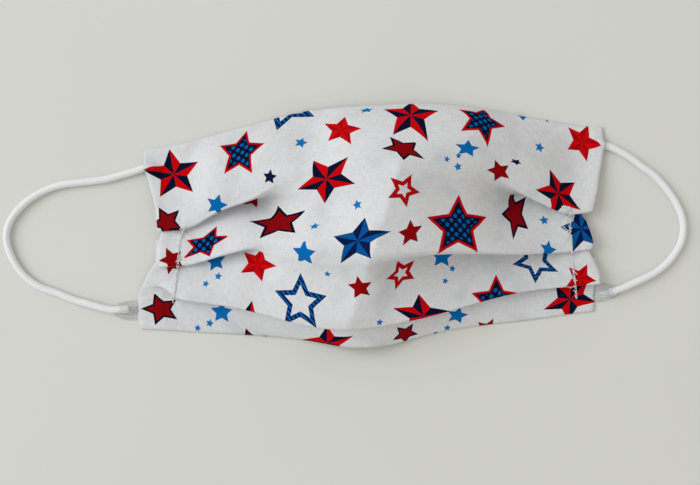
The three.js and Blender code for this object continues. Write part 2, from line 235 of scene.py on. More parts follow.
def round_cord(name, line, radius, sides):
    """A tube about a line, closed at both ends, with a map in turns and metres along it."""
    ahead = np.gradient(line, axis=0)
    ahead /= np.linalg.norm(ahead, axis=1)[:, None]
    aside = np.cross(ahead, (0, 0, 1.0))
    aside /= np.linalg.norm(aside, axis=1)[:, None]
    up = np.cross(aside, ahead)
    run = run_along(line)
    radii = np.broadcast_to(radius, run.shape)
    points = []
    for centre, x, z, r in zip(line, aside, up, radii):
        for k in range(sides):
            angle = 2 * math.pi * k / sides
            points.append(centre + r * (math.cos(angle) * x + math.sin(angle) * z))
    last = len(line) - 1
    faces = []
    for i in range(last):
        for k in range(sides):
            n = (k + 1) % sides
            low = i * sides
            faces.append((low + k, low + sides + k, low + sides + n, low + n))
    faces.append(tuple(range(sides)))
    faces.append(tuple(last * sides + k for k in reversed(range(sides))))
    piece = mesh_piece(name, points, faces)
    places = piece.data.uv_layers.new(name="cord_map")
    for face in piece.data.polygons:
        for k, corner in enumerate(face.loop_indices):
            vertex = piece.data.loops[corner].vertex_index
            turn = (vertex % sides) / sides
            if turn == 0 and len(face.vertices) == 4 and k >= 2:
                turn = 1.0
            places.data[corner].uv = (turn, run[vertex // sides])
    return piece


def maths(tree, operation, place, *inputs):
    """A Math node with its inputs set or linked, and its output."""
    made = node(tree, "ShaderNodeMath", place, operation=operation)
    for socket, value in zip(made.inputs, inputs):
        put_in(tree, socket, value)
    return made.outputs[0]


def knitted_elastic():
    """White elastic: rows of small knitted stitches, a soft sheen and a little shade between."""
    made, tree, shader = new_material("knitted_elastic")
    spot = node(tree, "ShaderNodeUVMap", (-1500, 0), uv_map="cord_map")
    parts = node(tree, "ShaderNodeSeparateXYZ", (-1300, 0))
    join(tree, spot, "UV", parts, "Vector")

    def sums(kind, place, *values):
        return maths(tree, kind, place, *values)

    wale = sums("FRACT", (-1000, 100), sums("MULTIPLY", (-1150, 100), parts.outputs["X"], knit_wales))
    lean = sums("ABSOLUTE", (-700, 100), sums("SUBTRACT", (-850, 100), wale, 0.5))
    course = sums("DIVIDE", (-1000, -120), parts.outputs["Y"], knit_course)
    slant = sums("FRACT", (-550, -80), sums("ADD", (-700, -80), course, lean))
    loop = sums("SINE", (-250, -80), sums("MULTIPLY", (-400, -80), slant, math.pi))
    gutter = sums("SINE", (-400, 120), sums("MULTIPLY", (-550, 120), wale, math.pi))
    height = sums("MULTIPLY", (-100, 20), loop, sums("POWER", (-250, 120), gutter, 0.6))
    tint = mix_colours(tree, (100, 200), height, elastic_shade, elastic_white)
    tree.links.new(tint, shader.inputs["Base Color"])
    bump(tree, shader, (100, -120), height, 0.55, 0.00018)
    set_inputs(
        shader, Roughness=0.62, Specular_IOR_Level=0.35, Sheen_Weight=0.25, Sheen_Roughness=0.4,
        Subsurface_Weight=0.12, Subsurface_Radius=(1.0, 1.0, 1.0), Subsurface_Scale=0.0006,
    )
    return made


elastic_finish = knitted_elastic()


def ear_loop(name, route, length):
    """One loop, flattened a little where it is sewn in, and its line."""
    line = even_curve(route, 0.00045)
    radius = np.full(len(line), cord_diameter / 2)
    sewn_in = np.linspace(0.72, 1, 14)
    radius[: len(sewn_in)] *= sewn_in
    line[:, 2] += radius
    loop = round_cord(name, line, radius, cord_sides)
    loop.data.materials.append(elastic_finish)
    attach(loop, "root")
    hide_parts(name.replace("elastic", "ear_loop"))
    return loop, line, length


left_loop = ear_loop("elastic_left", left_loop_route, left_loop_length)
right_loop = ear_loop("elastic_right", right_loop_route, right_loop_length)


# The body: two layers of quilting cotton sewn right sides together and turned, folded in three
# knife pleats and tacked at both sides. It is one sheet about 196 by 155 mm before folding,
# domed where the pleats have been pulled open and flat at its side margins.
body_width = 198.9
body_height = 99.9
dome_lift = 28.6
layer_pitch = 1.35
table_level = 0.5
pleat_depth = 12.7
nose_panel = 37.5
upper_panel = 27.4
lower_panel = 26.6
chin_panel = 26.6
stack_tilt = math.radians(10)
fold_bend = 0.6
valley_bend = 2.5
soft_bend = 9
opened_share = 0.6
free_lift = 4
chin_bow_share = 0.35
fold_rest = table_level + 2 * layer_pitch + pleat_depth * math.sin(stack_tilt)
cloth_thickness = 0.0008
cloth_flat = (0.196, 0.155)
stations = 216

# Each row of an edge or fold: place across and height up the mask, as shares of half its
# width and height, lift as a share of the dome's, and how far the fold has opened.
nose_edge = (
    (-0.94, 0.734, 0.00, 0), (-0.53, 0.872, 0.00, 0), (-0.24, 0.990, 0.04, 0),
    (0.08, 1.000, 0.08, 0), (0.30, 0.990, 0.06, 0), (0.52, 0.920, 0.02, 0),
    (0.77, 0.814, 0.00, 0), (1.00, 0.746, 0.00, 0),
)
upper_fold = (
    (-0.89, 0.045, 0.00, 0), (-0.79, 0.041, 0.00, 0), (-0.63, 0.179, 0.14, 0),
    (-0.45, 0.275, 0.36, 0), (-0.25, 0.370, 0.62, 0.7), (-0.06, 0.490, 0.80, 1),
    (0.13, 0.527, 0.85, 0.9), (0.40, 0.480, 0.64, 0.7), (0.52, 0.340, 0.42, 0.3),
    (0.61, 0.225, 0.28, 0), (0.73, 0.101, 0.12, 0), (0.84, 0.019, 0.00, 0),
    (0.92, 0.045, 0.00, 0),
)
middle_fold = (
    (-0.89, -0.251, 0.00, 0), (-0.81, -0.257, 0.00, 0), (-0.74, -0.240, 0.04, 0),
    (-0.64, -0.183, 0.17, 0), (-0.53, -0.140, 0.36, 0.4), (-0.35, -0.200, 0.62, 0.9),
    (-0.20, -0.265, 0.84, 1), (0.00, -0.255, 1.00, 0.8), (0.09, -0.251, 0.98, 0.2),
    (0.26, -0.243, 0.80, 0), (0.60, -0.277, 0.34, 0), (0.83, -0.285, 0.00, 0),
    (0.92, -0.265, 0.00, 0),
)
lower_fold = (
    (-0.98, -0.535, 0.00, 0), (-0.85, -0.538, 0.00, 0), (-0.73, -0.562, 0.03, 0),
    (-0.56, -0.628, 0.12, 0), (-0.39, -0.730, 0.23, 0), (-0.25, -0.804, 0.31, 0),
    (-0.13, -0.834, 0.34, 0.2), (0.08, -0.804, 0.32, 0.2), (0.29, -0.728, 0.24, 0),
    (0.44, -0.658, 0.15, 0), (0.61, -0.596, 0.06, 0), (0.76, -0.575, 0.00, 0),
    (0.94, -0.560, 0.00, 0),
)
chin_edge = (
    (-0.97, -0.775, 0, 0), (-0.79, -0.812, 0, 0), (-0.50, -0.868, 0, 0),
    (-0.31, -0.918, 0, 0), (-0.07, -1.000, 0, 0), (0.01, -1.000, 0, 0),
    (0.17, -0.944, 0, 0), (0.37, -0.880, 0, 0), (0.68, -0.838, 0, 0),
    (0.92, -0.796, 0, 0),
)
side_reach = {
    "nose": (-0.94, 1.0),
    "upper": (-0.89, 0.92),
    "middle": (-0.895, 0.925),
    "lower": (-0.985, 0.94),
    "margin": (-1.0, 0.94),
    "chin": (-0.96, 0.925),
}


def along(rows, place, column):
    """One column of a table at a place across, on an even curve through its rows."""
    if place <= rows[0][0]:
        return rows[0][column]
    if place >= rows[-1][0]:
        return rows[-1][column]
    i = next(k for k, row in enumerate(rows) if row[0] > place) - 1

    def slope(k):
        a = rows[max(k - 1, 0)]
        b = rows[min(k + 1, len(rows) - 1)]
        here = rows[k][column]
        if (b[column] - here) * (here - a[column]) <= 0:
            return 0.0
        return (b[column] - a[column]) / (b[0] - a[0])

    span = rows[i + 1][0] - rows[i][0]
    t = (place - rows[i][0]) / span
    rise = rows[i + 1][column] - rows[i][column]
    lead = slope(i) * span - rise
    trail = slope(i + 1) * span - rise
    return rows[i][column] + t * rise + t * (1 - t) * ((1 - t) * lead - t * trail)


def across_at(span, u):
    return (span[0] + (span[1] - span[0]) * (u + 1) / 2) * body_width / 2


def line_point(rows, span, u, rest):
    """x, y, z and opening of an edge or fold at a cloth place u, from -1 to 1 across."""
    place = across_at(span, u) / (body_width / 2)
    soft = min(max(along(rows, place, 3), 0), 1)
    y = along(rows, place, 1) * body_height / 2
    return across_at(span, u), y, rest + along(rows, place, 2) * dome_lift, soft


def step_from(p, heading, distance):
    return p[0] + math.cos(heading) * distance, p[1] + math.sin(heading) * distance


def heading_to(a, b):
    return math.atan2(b[1] - a[1], b[0] - a[0]) % (2 * math.pi)


def bend_at(point, heading_in, heading_out, radius, steps):
    """Points round an arc from one heading to another, touching the point's side."""
    turn = heading_out - heading_in
    side = 1 if turn >= 0 else -1
    start = step_from(point, heading_in, -radius * abs(math.sin(turn / 2)))
    centre = step_from(start, heading_in + side * math.pi / 2, radius)
    return [
        step_from(centre, heading_in - side * math.pi / 2 + turn * i / steps, radius)
        for i in range(steps + 1)
    ]


def pleat(fold, soft, heading_in, following, panel, steps):
    """The bend at a fold and the bend into the next panel, with the hidden layer between."""
    depth = pleat_depth * (1 - opened_share * soft)
    closed = heading_in + math.pi - stack_tilt

    def place(heading):
        opened = (closed - heading) / (closed - heading_in)
        outer = layer_pitch / 2 + opened * (fold_bend + (soft_bend - fold_bend) * soft)
        inner = layer_pitch / 2 + opened * (valley_bend + (soft_bend - valley_bend) * soft)
        first = bend_at(fold, heading_in, heading, outer, steps)
        level = max(depth - (heading - heading_in) * (outer + inner) / 2, 1.0)
        y, z = step_from(first[-1], heading, level + inner)
        z = max(z, table_level + layer_pitch * (1 - opened))
        second = bend_at((y, z), heading, heading_to((y, z), following), inner, steps)
        z += max(0, table_level - min(p[1] for p in second))
        away = heading_to((y, z), following)
        second = bend_at((y, z), heading, away, inner, steps)
        return first, second, panel - (heading - away) * inner / 2

    low, high = 0.8 * math.pi, closed
    for _ in range(26):
        heading = (low + high) / 2
        first, second, left = place(heading)
        if math.dist(second[-1], following) > left:
            high = heading
        else:
            low = heading
    return place(high)[:2]


def slack_bow(start, end, panel, lifted):
    way = math.dist(start, end)
    t = min(max(lifted / free_lift, 0), 1)
    return t * t * (3 - 2 * t) * math.sqrt(max(0, 3 * way * (panel - way) / 8))


def bowed(start, end, bow, count):
    """Points of a panel from one point to another, bowed up."""
    up = heading_to(start, end) - math.pi / 2
    line = []
    for i in range(count + 1):
        t = i / count
        p = (start[0] + (end[0] - start[0]) * t, start[1] + (end[1] - start[1]) * t)
        line.append(step_from(p, up, 4 * bow * t * (1 - t)))
    return line


# How many steps of cloth each stretch of a station takes, from nose edge to chin edge.
panel_steps = (46, 33, 32, 32)
bend_steps = 8
hidden_steps = 9


def station(u):
    """One line of the cloth's middle from nose to chin edge, as x, y, z rows."""
    nose = line_point(nose_edge, side_reach["nose"], u, table_level)
    folds = [
        line_point(rows, side_reach[name], u, fold_rest)
        for rows, name in ((upper_fold, "upper"), (middle_fold, "middle"), (lower_fold, "lower"))
    ]
    chin = line_point(chin_edge, side_reach["chin"], u, table_level)
    margin_x = across_at(side_reach["margin"], u)
    rows = []

    def put(line, x_from, x_to, count):
        even = spread(line, count + 1)
        ease = np.linspace(0, 1, count + 1)
        for (y, z), t in list(zip(even, ease))[(1 if rows else 0):]:
            rows.append((x_from + (x_to - x_from) * t, y, z))

    bow = slack_bow(nose[1:3], folds[0][1:3], nose_panel, folds[0][2] - fold_rest)
    start = nose[1:3]
    heading = heading_to(start, folds[0][1:3])
    before = bowed(start, folds[0][1:3], bow, 24)
    heading += math.atan(4 * bow / math.dist(start, folds[0][1:3]))
    x_before = nose[0]
    for i, (fold, panel) in enumerate(zip(folds, (upper_panel, lower_panel, chin_panel))):
        following = folds[i + 1] if i < 2 else chin
        first, second = pleat(fold[1:3], fold[3], heading, following[1:3], panel, bend_steps)
        flat_here = fold[2] - fold_rest < 1e-9
        if i == 2 and flat_here:
            second[-1] = (second[-1][0], table_level)
        put(before[:-1] + [first[0]], x_before, fold[0], panel_steps[i])
        put(first, fold[0], fold[0], bend_steps)
        put([first[-1], second[0]], fold[0], fold[0], hidden_steps)
        put(second, fold[0], fold[0], bend_steps)
        start = second[-1]
        x_before = fold[0]
        heading = heading_to(start, following[1:3])
        before = [start, following[1:3]]
        if i == 2:
            bow = chin_bow_share * slack_bow(start, chin[1:3], panel, fold[2] - fold_rest)
            before = bowed(start, chin[1:3], bow, 24)
            if flat_here:
                before = [(p[0], table_level) for p in before]
            half = panel_steps[3] // 2
            even = spread(before, panel_steps[3] + 1)
            put(even[: half + 1], fold[0], margin_x, half)
            put(even[half:], margin_x, chin[0], panel_steps[3] - half)
    return rows


cloth = np.array([station(-1 + 2 * i / (stations - 1)) for i in range(stations)])
places = np.linspace(-1, 1, stations)
rows_down = cloth.shape[1]
fold_rows = [0]
for steps in panel_steps[:3]:
    fold_rows.append(fold_rows[-1] + steps)
    fold_rows.append(fold_rows[-1] + 2 * bend_steps + hidden_steps)
fold_rows.append(rows_down - 1)

# Where a pleat has been pulled quite open its cloth runs on in one smooth curve. Each stretch
# is a pleat, where it starts to open, is open, is still open and is closed again, across, and
# how many rows of cloth each side of the pleat take part.
open_stretches = (
    (0, -0.50, -0.36, 0.42, 0.60, 9), (1, -0.56, -0.44, -0.06, 0.01, 9),
    (2, -1.3, -1.2, -0.95, -0.815, 25),
)
most_softening = 40
cloth_place = cloth[:, :, 0] / (body_width / 2)
for pleat_number, shut, opened, still_open, shut_again, around in open_stretches:
    first = fold_rows[1 + 2 * pleat_number] - around
    last = fold_rows[2 + 2 * pleat_number] + around
    for i in range(stations):
        at = cloth_place[i, fold_rows[1 + 2 * pleat_number]]
        share = min((at - shut) / (opened - shut), (shut_again - at) / (shut_again - still_open), 1)
        if share <= 0:
            continue
        share = share * share * (3 - 2 * share)
        start, end = cloth[i, first], cloth[i, last]
        reach = np.linalg.norm(end - start)
        lead = cloth[i, first] - cloth[i, first - 4]
        trail = cloth[i, last + 4] - cloth[i, last]
        lead *= reach / max(np.linalg.norm(lead), 1e-6)
        trail *= reach / max(np.linalg.norm(trail), 1e-6)
        t = np.linspace(0, 1, 60)[:, None]
        curve = (
            start * (1 + 2 * t) * (1 - t) ** 2 + end * t**2 * (3 - 2 * t)
            + lead * t * (1 - t) ** 2 - trail * t**2 * (1 - t)
        )
        smooth_line = spread(curve, last - first + 1)
        cloth[i, first : last + 1] += share * (smooth_line - cloth[i, first : last + 1])
        # At the left margin the lowest pleat runs out in soft bends, part way to open.
        if pleat_number == 2:
            for _ in range(round(most_softening * 4 * share * (1 - share))):
                bent = cloth[i, first : last + 1]
                bent[1:-1] += 0.5 * ((bent[:-2] + bent[2:]) / 2 - bent[1:-1])


# The lines above bend evenly across the cloth, as a soft sheet does between its creases.
bell = np.exp(-0.5 * (np.arange(-12, 13) / 4.5) ** 2)
bell /= bell.sum()
calm = np.pad(cloth, ((12, 12), (0, 0), (0, 0)), mode="reflect", reflect_type="odd")
calm = sum(weight * calm[k : k + stations] for k, weight in enumerate(bell))
cloth[:, :, 1:] = calm[:, :, 1:]

# The side edges of the turned cloth, each layer's own, in pixels of the photograph.
left_edges = (
    (0, 144.5, 150), (0, 144, 160), (0, 146, 170), (0, 149, 180), (0, 152, 190), (0, 155, 200),
    (0, 157.5, 210), (0, 158.5, 220), (0, 160, 231), (1, 163, 233), (1, 160.5, 240),
    (1, 160, 250), (1, 160, 260), (1, 161, 267), (2, 157, 262), (2, 151, 270), (2, 145, 280),
    (2, 141.5, 288), (2, 139.5, 298), (3, 138.6, 306), (3, 138.2, 315), (3, 139.5, 325),
    (3, 143, 331),
)
right_edges = (
    (0, 603, 147), (0, 601, 160), (0, 599, 170), (0, 597, 180), (0, 595.5, 190), (0, 593, 200),
    (0, 590.5, 210), (0, 588, 215), (1, 580, 216), (1, 584, 221), (1, 587.5, 230),
    (1, 590, 240), (1, 590.5, 245), (1, 588, 250), (2, 588, 252), (2, 592, 260), (2, 596.5, 270),
    (2, 597.5, 276), (3, 595.5, 278), (3, 594, 285), (3, 593, 295), (3, 594, 305),
    (3, 593, 313),
)
photo_width = 700
photo_middle = (350, 242.5)
pixel = view_width * 1000 / photo_width
centre_on_table = np.array(view_centre) * 1000
camera_height = view_height * 1000
view_right = np.array((math.cos(view_turn), math.sin(view_turn)))
view_up = np.array((-math.sin(view_turn), math.cos(view_turn)))


def on_table(x, y):
    """The place on the table, in millimetres, that shows at a pixel of the photograph."""
    aside, down = x - photo_middle[0], y - photo_middle[1]
    return centre_on_table + (aside * view_right - down * view_up) * pixel


for edges, end_station, side in ((left_edges, 0, -1), (right_edges, stations - 1, 1)):
    wanted = np.full(rows_down, np.nan)
    for panel in range(4):
        spots = np.array([on_table(x, y) for n, x, y in edges if n == panel])
        order = np.argsort(spots[:, 1])
        mine = np.arange(fold_rows[2 * panel], fold_rows[2 * panel + 1] + 1)
        y = cloth[end_station, mine, 1]
        wanted[mine] = np.interp(y, spots[order, 1], spots[order, 0])
    known = ~np.isnan(wanted)
    wanted = np.interp(np.arange(rows_down), np.arange(rows_down)[known], wanted[known])
    shift = wanted - cloth[end_station, :, 0]
    ease = np.clip((side * places - 0.76) / 0.24, 0, 1)
    cloth[:, :, 0] += (ease**1.5)[:, None] * shift[None, :]


def shown_at(points):
    """Where points of the cloth show in the photograph's frame, in its pixels."""
    near = camera_height / (camera_height - points[:, :, 2])
    level = (points[:, :, :2] - centre_on_table) * near[:, :, None]
    across = photo_middle[0] + level @ view_right / pixel
    return np.stack([across, photo_middle[1] - level @ view_up / pixel], axis=-1)


def eased(value, low, high):
    """From 0 at the low value to 1 at the high one, evenly eased."""
    t = np.clip((value - low) / (high - low), 0, 1)
    return t * t * (3 - 2 * t)


# What lifts the cloth from its even bend: heights in millimetres, and places in pixels of the
# photograph. They are the pressed crease down its middle, two faint old creases, a hollow in the
# nose panel, the chin's bulge, the drop below the middle fold, small puckers about the tacks, and
# the lump over each elastic where it is sewn in.
crease_lift = 3.5
crease_width = 24
old_crease_dents = (0.35, 0.30)
old_crease_width = 9
hollow_depth = 2.2
hollow_at = (232, 165)
hollow_size = (32, 45)
chin_lift = 6.5
chin_x = 362
chin_width = 36
below_fold_drop = 3.2
pucker_heights = (0.75, 0.5)
pucker_width = 20
lump_height = 2.3
lump_width = 2.1
unevenness = (0.55, 0.10)
tacks = ((181, 231), (178, 262), (176, 294), (568, 213), (570, 239), (574, 277))
seen = shown_at(cloth)
seen_x, seen_y = seen[:, :, 0], seen[:, :, 1]
crease_x = np.interp(seen_y, (100, 155, 255, 330, 360), (408, 403, 372, 347, 340))
sharp = crease_lift * np.exp(-np.sqrt((seen_x - crease_x) ** 2 + 3) / crease_width)
lift = sharp * eased(seen_y, 142, 172) * eased(-seen_y, -345, -315)
old_line = old_crease_dents[0] * np.exp(-np.sqrt((seen_y - 158) ** 2 + 2) / old_crease_width)
lift -= old_line * eased(seen_x, 398, 408) * eased(-seen_x, -500, -480)
old_line = old_crease_dents[1] * np.exp(-np.sqrt((seen_x - 486) ** 2 + 2) / old_crease_width)
lift -= old_line * eased(seen_y, 152, 162) * eased(-seen_y, -206, -186)
row_number = np.arange(rows_down)
in_nose_panel = (row_number < fold_rows[1])[None, :]
off_x, off_y = (seen_x - hollow_at[0]) / hollow_size[0], (seen_y - hollow_at[1]) / hollow_size[1]
hollow = hollow_depth * np.exp(-(off_x**2) - off_y**2)
lift -= hollow * in_nose_panel * eased(cloth[:, :, 2], 1.5, 6)
chin_share = np.clip((row_number - fold_rows[6]) / (rows_down - 1 - fold_rows[6]), 0, 1)
lift += chin_lift * np.exp(-(((seen_x - chin_x) / chin_width) ** 2)) * chin_share[None, :]
under_fold = np.interp(
    row_number, (fold_rows[3], fold_rows[3] + 12, fold_rows[4], fold_rows[5]), (0, 1, 1, 0)
)
held_up = eased(seen_x, 366, 400) * eased(-seen_x, -552, -500) * eased(cloth[:, :, 2], 2.0, 7.0)
lift -= below_fold_drop * held_up * under_fold[None, :]
for tack_x, tack_y in tacks:
    off = np.hypot(seen_x - tack_x, (seen_y - tack_y) * 1.4)
    for i, j in zip(*np.nonzero(off < 42)):
        turn = math.atan2(seen_y[i, j] - tack_y, seen_x[i, j] - tack_x)
        pucker = noise.noise((2.6 * math.cos(turn), 2.6 * math.sin(turn), tack_x + 0.02 * off[i, j]))
        spot = Vector((seen_x[i, j] * 0.16, seen_y[i, j] * 0.3, 4.0))
        amount = pucker_heights[0] * (0.5 + pucker) + pucker_heights[1] * abs(noise.noise(spot))
        fading = math.exp(-((off[i, j] / pucker_width) ** 2))
        lift[i, j] += amount * fading * min(off[i, j] / 5, 1)
for middle_y, edge_x, inner_x, tilt in ((0.0290, -93.4, -86.0, -0.26), (0.0300, 97.6, 90.5, -0.22)):
    off_y = cloth[:, :, 1] - middle_y * 1000 - tilt * (cloth[:, :, 0] - edge_x)
    lump = lump_height * np.exp(-((off_y / lump_width) ** 2))
    outward = (cloth[:, :, 0] - inner_x) / (edge_x - inner_x)
    lift += lump * eased(outward, 0, 0.6) * in_nose_panel

# A soft unevenness all over, where the cloth is off the table.
for i in range(stations):
    for j in range(rows_down):
        spot = cloth[i, j]
        wide = noise.noise((spot[0] * 0.045, spot[1] * 0.07, j * 0.01))
        fine = noise.noise((spot[0] * 0.17, spot[1] * 0.21, 7.0 + j * 0.02))
        free = min(max((spot[2] - 2.0) / 6, 0), 1)
        lift[i, j] += free * (unevenness[0] * wide + unevenness[1] * fine)
cloth[:, :, 2] += lift

# The cloth's own measure: millimetres across from its left edge and down from its nose edge,
# as a mean for each row and as each line's own.
lengths = np.linalg.norm(np.diff(cloth, axis=1), axis=2)
cloth_down = np.concatenate([[0], np.cumsum(lengths.mean(0))])
own_down = np.pad(np.cumsum(lengths, axis=1), ((0, 0), (1, 0)))
cloth_across = np.linspace(0, cloth_flat[0] * 1000, stations)


def facing(points):
    """The way that each point of the sheet faces, outwards from the wearer."""
    normal = np.cross(np.gradient(points, axis=1), np.gradient(points, axis=0))
    return normal / np.maximum(np.linalg.norm(normal, axis=2), 1e-9)[:, :, None]


bpy.ops.object.select_all(action="DESELECT")
bpy.ops.mesh.primitive_grid_add(x_subdivisions=stations - 1, y_subdivisions=rows_down - 1, size=1)
mask_cloth = bpy.context.object
mask_cloth.name = "mask_cloth"
mask_cloth.data.name = "mask_cloth"
laid_out = cloth[:, ::-1].transpose(1, 0, 2).reshape(-1, 3) / 1000
mask_cloth.data.vertices.foreach_set("co", laid_out.ravel())
mask_cloth.data.update()

seen = shown_at(cloth)
cloth_facing = facing(cloth)


class ClothSpot:
    """The top-most point of the cloth that shows at a pixel, and the plane it lies in."""

    def __init__(self, x, y):
        off = np.linalg.norm(seen - (x, y), axis=2)
        close = off < max(2.2, off.min() + 0.01)
        rank = np.where(close, cloth[:, :, 2] - off * 0.3, -1e9)
        i, j = np.unravel_index(np.argmax(rank), off.shape)
        near_i = slice(max(i - 3, 0), i + 4)
        near_j = slice(max(j - 3, 0), j + 4)
        self.out = cloth_facing[near_i, near_j].mean((0, 1))
        self.out /= np.linalg.norm(self.out)
        # At a fold's bend the plane still faces up a little, so that a pixel is a short step.
        self.out[2] = max(self.out[2], 0.3)
        self.out /= np.linalg.norm(self.out)
        self.across, self.down = cloth_across[i], cloth_down[j]
        self.point = cloth[i, j]
        self.point = self.point + self.by_pixel(x - seen[i, j, 0], y - seen[i, j, 1])

    def by_pixel(self, x, y):
        """The way along the cloth that shows as a step in pixels."""
        here = pixel * (camera_height - self.point[2]) / camera_height
        flat = np.append((x * view_right - y * view_up) * here, 0.0)
        eye = np.append(centre_on_table, camera_height)
        ray = self.point - eye
        return flat - ray * (flat @ self.out) / (ray @ self.out)


# The print: tossed five-pointed stars of eleven kinds. Each row of the chart is a kind, then
# the place of its middle, of one tip and of the next tip clockwise, in pixels of the
# photograph. A star that lies plainly has one tip given, or none where it is tiny.
star_kinds = (
    "none", "halved", "dotted", "hatched", "red_facets", "blue_facets", "dashed_ring",
    "red_ring", "small_dark_red", "small_blue", "small_navy", "tiny_blue",
)
star_chart = (
    ("halved", (174, 174.5), (170, 150.5), (199, 163.5)),
    ("dotted", (241, 152.6), (245, 129.3), (263.7, 144.3)),
    ("red_facets", (341.7, 130.5), (344.5, 116.7), (360, 128.3)),
    ("tiny_blue", (366.6, 111), (367.3, 108.3)),
    ("halved", (410.7, 116), (411.2, 96), (437.3, 111.5)),
    ("dotted", (481.7, 121), (505, 126), (490, 141)),
    ("hatched", (403.3, 149), (403.3, 160), (382.7, 148)),
    ("small_blue", (467, 148.5), (468.5, 140.5), (479, 147.7)),
    ("tiny_blue", (458.3, 155.7), (458.5, 152.4)),
    ("tiny_blue", (446.7, 159.3), (447.5, 156)),
    ("tiny_blue", (457.7, 166.7), (457, 162.4)),
    ("halved", (326.7, 179), (311.7, 161.7), (346, 158.3)),
    ("small_blue", (217, 205), (220, 194.5)),
    ("tiny_blue", (211, 217.5), (211.3, 215.8)),
    ("small_navy", (270, 177), (271, 169.7)),
    ("tiny_blue", (301, 143.3), (303.3, 138.3)),
    ("hatched", (279, 223.5), (280, 208.5), (306.5, 214)),
    ("tiny_blue", (315, 226.7), (316, 223.5), (320.3, 225)),
    ("small_blue", (304.3, 253.5), (293, 248.3)),
    ("red_facets", (258, 264), (276, 265.7), (262.3, 280.7)),
    ("dotted", (206, 244), (188.5, 241), (216.5, 227)),
    ("small_blue", (216, 261.5), (206, 260)),
    ("tiny_blue", (218.6, 276.5), (219.5, 272.5)),
    ("tiny_blue", (206, 284), (207.5, 280.7)),
    ("tiny_blue", (327.6, 273.7), (327.6, 270.7)),
    ("dashed_ring", (300.7, 302.3), (301, 274), (325.7, 296)),
    ("hatched", (161, 309), (142, 308.5), (154.5, 293.5)),
    ("small_blue", (222, 312), (222, 301)),
    ("tiny_blue", (210, 323), (211, 319)),
    ("tiny_blue", (198, 328), (199, 324.5)),
    ("halved", (327.5, 342), (327, 327.5), (351, 337.5)),
    ("blue_facets", (358.3, 240.7), (364, 218.3), (385.7, 230.7)),
    ("tiny_blue", (357.7, 205), (356.7, 200)),
    ("red_ring", (403.5, 190), (411, 175), (419.3, 192.3)),
    ("small_dark_red", (410, 233), (410, 220.3), (421.5, 226)),
    ("dotted", (457.7, 226.7), (457.7, 196), (487.3, 216.7)),
    ("red_ring", (400.7, 273.3), (413.5, 260.5), (412.5, 278)),
    ("small_dark_red", (360, 287.5), (348, 285.5)),
    ("tiny_blue", (379.5, 322), (380, 318.6)),
    ("hatched", (405, 333), (412.5, 323.5), (417.5, 333)),
    ("small_blue", (457, 315), (460, 307), (467.7, 314)),
    ("tiny_blue", (447, 327), (447.6, 323.8)),
    ("tiny_blue", (435.3, 332), (436, 330)),
    ("small_blue", (441.5, 256.5), (452.5, 253.5), (448, 266)),
    ("tiny_blue", (452, 268.6), (452.7, 265)),
    ("tiny_blue", (445, 281), (446, 277.8)),
    ("hatched", (514.3, 215), (507.7, 191), (524, 199.5)),
    ("tiny_blue", (543.7, 220.7), (542.7, 216)),
    ("small_dark_red", (499, 171), (495, 160.5), (508.3, 165.8)),
    ("small_navy", (515.5, 162), (511, 158.5), (518.5, 160)),
    ("tiny_blue", (539, 147.7), (540, 143)),
    ("red_facets", (581.7, 142.3), (587.7, 126), (599.3, 146)),
    ("halved", (558, 193.5), (549, 170.5), (573.5, 183)),
    ("blue_facets", (581, 229), (573, 250.5), (561, 227)),
    ("halved", (570, 299), (556, 284.5), (587, 280)),
    ("hatched", (167, 222.5), (178.8, 210.5), (182, 229.5)),
    ("small_dark_red", (172, 260), (166.5, 248.5), (181, 252)),
    ("dashed_ring", (535, 261.7), (556.7, 271.7), (535, 282.3)),
    ("small_blue", (548, 250), (550, 241)),
    ("halved", (423.3, 316), (421, 297.7), (450, 311)),
)
# Stars whose middle is hidden by a fold or an edge: a kind, the place of a tip that shows, and
# the step in pixels from there to the middle.
cut_stars = (
    ("dashed_ring", (277, 131), (9, -24)), ("small_dark_red", (257, 208), (-3, -9)),
    ("halved", (252.5, 300.5), (-5, 24)), ("hatched", (246, 327.5), (6, 17)),
    ("red_facets", (587, 264.5), (-6.5, 14)), ("small_dark_red", (493, 318), (-6, 11)),
    ("dotted", (495.7, 274.3), (1, 27)), ("small_blue", (522.5, 121.5), (-1, -11)),
    ("small_blue", (547, 123.5), (-1, -11)), ("small_dark_red", (168.5, 274.5), (2.5, -11)),
)
fifth = 2 * math.pi / 5
tip_excess = 1.05
stars = []
for kind, middle, tip, *following in star_chart:
    spot = ClothSpot(*middle)
    tip_way = spot.by_pixel(tip[0] - middle[0], tip[1] - middle[1])
    if following:
        next_x, next_y = following[0]
        next_way = spot.by_pixel(next_x - middle[0], next_y - middle[1])
    else:
        next_way = tip_way * math.cos(fifth) - np.cross(spot.out, tip_way) * math.sin(fifth)
    stars.append((kind, spot, spot.point, tip_excess * tip_way, tip_excess * next_way, 1.2))
for kind, tip, away in cut_stars:
    spot = ClothSpot(*tip)
    tip_way = -spot.by_pixel(*away)
    next_way = tip_way * math.cos(fifth) - np.cross(spot.out, tip_way) * math.sin(fifth)
    stars.append((kind, spot, spot.point - tip_way, tip_way, next_way, 1.8))

